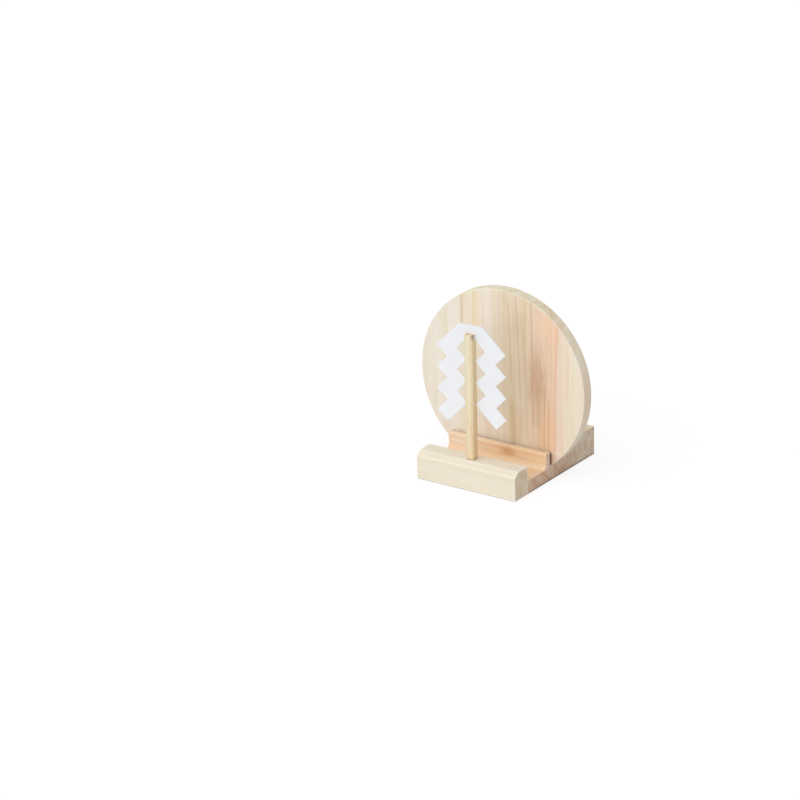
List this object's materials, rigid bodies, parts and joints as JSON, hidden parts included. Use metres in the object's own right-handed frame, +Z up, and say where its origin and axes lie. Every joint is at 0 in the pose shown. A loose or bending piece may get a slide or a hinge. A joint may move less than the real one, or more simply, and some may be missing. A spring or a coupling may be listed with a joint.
{
  "type": "kamidana talisman stand",
  "caption": "Desktop household shrine stand: grooved wooden base with a thin rail, round wooden backboard, and a square stick that carries a flat zigzag streamer.",
  "frame": {"origin": "on the floor at the middle of the base's footprint, which is also the middle of the part's width and depth", "axes": "+Z up, +Y towards the back, so the front block with the stick faces -Y; +X to the right as seen from the front"},
  "size_m": [0.136, 0.104, 0.1333],
  "materials": {
    "pale_wood": "bare, sanded",
    "warm_wood": "bare, sanded",
    "backboard_wood": "bare, sanded",
    "stick_wood": "bare, sanded",
    "white_paper": "smooth stiff card"
  },
  "bodies": {
    "root": {"front_block": "pale_wood", "base_board": "warm_wood", "round_backboard": "backboard_wood", "post": "stick_wood", "streamer": "white_paper"}
  },
  "joints": []
}
